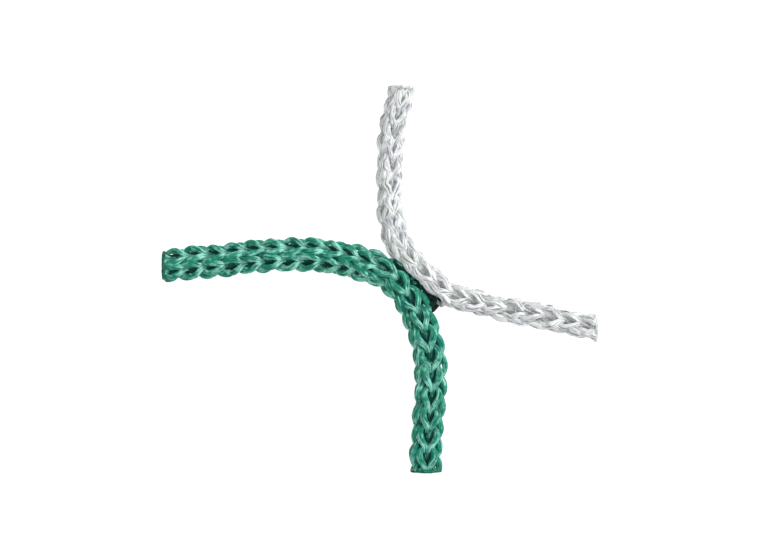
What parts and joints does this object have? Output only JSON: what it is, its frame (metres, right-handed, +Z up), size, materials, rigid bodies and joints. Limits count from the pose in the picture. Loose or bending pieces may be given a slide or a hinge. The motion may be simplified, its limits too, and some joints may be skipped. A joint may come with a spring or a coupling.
{
  "type": "knotless net junction",
  "caption": "Junction of two-tone knotless sports netting: a green and a white knitted cord bend past each other, laced side by side, with four cut and melted legs.",
  "frame": {"origin": "on the ground below the middle of the sample's cut size", "axes": "+X to the white cord's cut end, +Y to the white cord's other cut end, +Z up off the ground the netting lies on"},
  "size_m": [0.0776, 0.069, 0.005],
  "materials": {
    "green_yarn": "glossy knitted multifilament polypropylene",
    "green_inlay": "straight multifilament polypropylene",
    "green_melted": "melted and set polypropylene",
    "white_yarn": "glossy knitted multifilament polypropylene",
    "white_inlay": "straight multifilament polypropylene",
    "white_melted": "melted and set polypropylene"
  },
  "bodies": {
    "junction": {"green_joint_chain_1": "green_yarn", "green_joint_chain_2": "green_yarn", "green_joint_chain_3": "green_yarn", "green_joint_chain_4": "green_yarn", "green_joint_inlay": "green_inlay", "white_joint_chain_1": "white_yarn", "white_joint_chain_2": "white_yarn", "white_joint_chain_3": "white_yarn", "white_joint_chain_4": "white_yarn", "white_joint_inlay": "white_inlay", "green_joining_yarn": "green_yarn", "white_joining_yarn": "white_yarn"},
    "green_left_leg": {"green_left_chain_1": "green_yarn", "green_left_chain_2": "green_yarn", "green_left_chain_3": "green_yarn", "green_left_chain_4": "green_yarn", "green_left_inlay": "green_inlay", "green_left_tip": "green_melted"},
    "green_bottom_leg": {"green_bottom_chain_1": "green_yarn", "green_bottom_chain_2": "green_yarn", "green_bottom_chain_3": "green_yarn", "green_bottom_chain_4": "green_yarn", "green_bottom_inlay": "green_inlay", "green_bottom_tip": "green_melted"},
    "white_top_leg": {"white_top_chain_1": "white_yarn", "white_top_chain_2": "white_yarn", "white_top_chain_3": "white_yarn", "white_top_chain_4": "white_yarn", "white_top_inlay": "white_inlay", "white_top_tip": "white_melted"},
    "white_right_leg": {"white_right_chain_1": "white_yarn", "white_right_chain_2": "white_yarn", "white_right_chain_3": "white_yarn", "white_right_chain_4": "white_yarn", "white_right_inlay": "white_inlay", "white_right_tip": "white_melted"}
  },
  "joints": [
    {"name": "green_left_bend", "type": "hinge", "parent": "junction", "child": "green_left_leg", "pos_m": [-0.0032, 0.0026, 0.0025], "axis": [0, 0, 1], "range_deg": [-35, 25]},
    {"name": "green_bottom_bend", "type": "hinge", "parent": "junction", "child": "green_bottom_leg", "pos_m": [0.0073, -0.0078, 0.0025], "axis": [0, 0, 1], "range_deg": [-25, 35]},
    {"name": "white_top_bend", "type": "hinge", "parent": "junction", "child": "white_top_leg", "pos_m": [0.0026, 0.008, 0.00225], "axis": [0, 0, 1], "range_deg": [-25, 35]},
    {"name": "white_right_bend", "type": "hinge", "parent": "junction", "child": "white_right_leg", "pos_m": [0.0128, -0.0028, 0.00225], "axis": [0, 0, 1], "range_deg": [-35, 25]}
  ]
}
